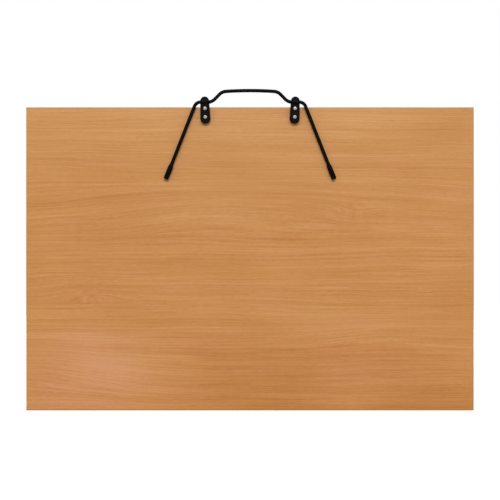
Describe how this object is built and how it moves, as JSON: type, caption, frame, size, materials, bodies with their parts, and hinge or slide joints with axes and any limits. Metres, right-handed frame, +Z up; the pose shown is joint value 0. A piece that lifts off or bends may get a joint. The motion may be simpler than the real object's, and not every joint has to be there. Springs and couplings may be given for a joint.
{
  "type": "portable drawing board",
  "caption": "Beech-faced drawing board with a bent black steel rod in two screwed brackets that serves as carrying handle and swings out as a tilting stand.",
  "frame": {"origin": "bottom centre of the whole object, where the middle of the long bottom edge stands", "axes": "+X along the board's width to the right as seen from behind, +Y out of the drawing face, +Z up towards the handle; the stand side faces -Y"},
  "size_m": [0.65, 0.0205, 0.4658],
  "materials": {
    "chipboard": "raw pressed wood chips, hidden",
    "beech_laminate": "satin beech-effect laminate, grain along the width",
    "beech_edge_band": "satin beech-effect edge band",
    "black_coated_steel": "black powder coat on round steel rod, satin",
    "black_vinyl": "soft black vinyl, matt",
    "black_plastic": "moulded black plastic, fine texture",
    "zinc_screw": "bright zinc plate"
  },
  "bodies": {
    "board": {"board_core": "chipboard", "back_face_laminate": "beech_laminate", "drawing_face_laminate": "beech_laminate", "bottom_edge_band": "beech_edge_band", "top_edge_band": "beech_edge_band", "left_edge_band": "beech_edge_band", "right_edge_band": "beech_edge_band", "left_bracket_base": "black_plastic", "left_bracket_cover": "black_plastic", "left_upper_screw": "zinc_screw", "left_lower_screw": "zinc_screw", "right_bracket_base": "black_plastic", "right_bracket_cover": "black_plastic", "right_upper_screw": "zinc_screw", "right_lower_screw": "zinc_screw"},
    "stand": {"stand_rod": "black_coated_steel", "left_tip_cap": "black_vinyl", "right_tip_cap": "black_vinyl"}
  },
  "joints": [
    {"name": "stand_swing", "type": "hinge", "parent": "board", "child": "stand", "pos_m": [0, -0.00575, 0.44675], "axis": [-1, 0, 0], "range_deg": [0, 104]}
  ]
}
